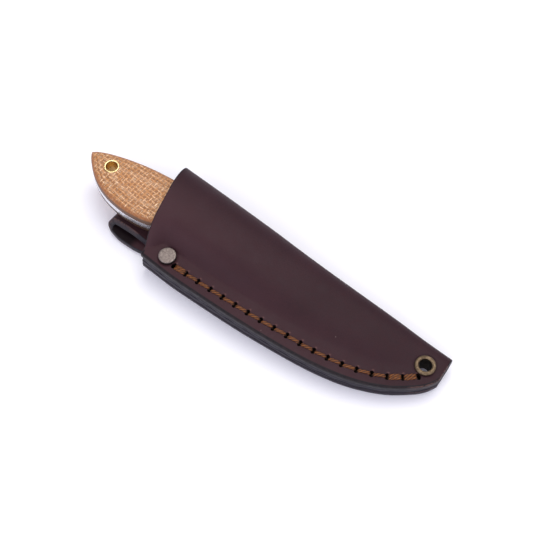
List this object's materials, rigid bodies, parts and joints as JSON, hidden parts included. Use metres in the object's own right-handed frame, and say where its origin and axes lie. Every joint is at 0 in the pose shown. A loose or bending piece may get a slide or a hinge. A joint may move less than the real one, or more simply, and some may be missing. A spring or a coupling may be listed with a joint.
{
  "type": "whittling knife with sheath",
  "caption": "Small full-tang whittling knife with a canvas-laminate handle, seated in a folded, saddle-stitched leather pouch sheath with a belt loop.",
  "frame": {"origin": "centre of the bounding box's underside, on the surface that the sheathed knife lies on", "axes": "+X from the handle towards the sheath's tip, +Y towards the folded side of the sheath, -Y towards the sewn seam, +Z out of the front panel; the back panel leans 0.95 degrees because the belt loop lifts the mouth"},
  "size_m": [0.1784, 0.045, 0.0229],
  "materials": {
    "polished_steel": "satin ground blade, polished tang edge",
    "canvas_micarta": "natural canvas laminate, sanded, woven flecks",
    "brass": "polished",
    "dark_leather": "dark reddish brown vegetable-tanned leather, satin",
    "edge_leather": "black-dyed burnished edge",
    "waxed_thread": "waxed braided polyester thread",
    "antique_silver": "antiqued, mottled",
    "antique_brass": "antiqued, rolled flange"
  },
  "bodies": {
    "sheath": {"sheath_leather": "dark_leather", "welt_front": "edge_leather", "welt_back": "edge_leather", "stitch_thread_a": "waxed_thread", "stitch_thread_b": "waxed_thread", "seam_rivet_cap": "antique_silver", "seam_rivet_post": "antique_silver", "eyelet": "antique_brass", "eyelet_washer": "antique_brass", "loop_rivet_1_post": "antique_silver", "loop_rivet_1_cap": "antique_silver", "loop_rivet_2_post": "antique_silver", "loop_rivet_2_cap": "antique_silver"},
    "knife": {"blade": "polished_steel", "scale_front": "canvas_micarta", "scale_back": "canvas_micarta", "handle_pin_rear": "brass", "handle_pin_front": "brass", "lanyard_tube": "brass"}
  },
  "joints": [
    {"name": "knife_draw", "type": "slide", "parent": "sheath", "child": "knife", "axis": [-0.9987, 0, 0.0505], "range_m": [0, 0.125]}
  ]
}
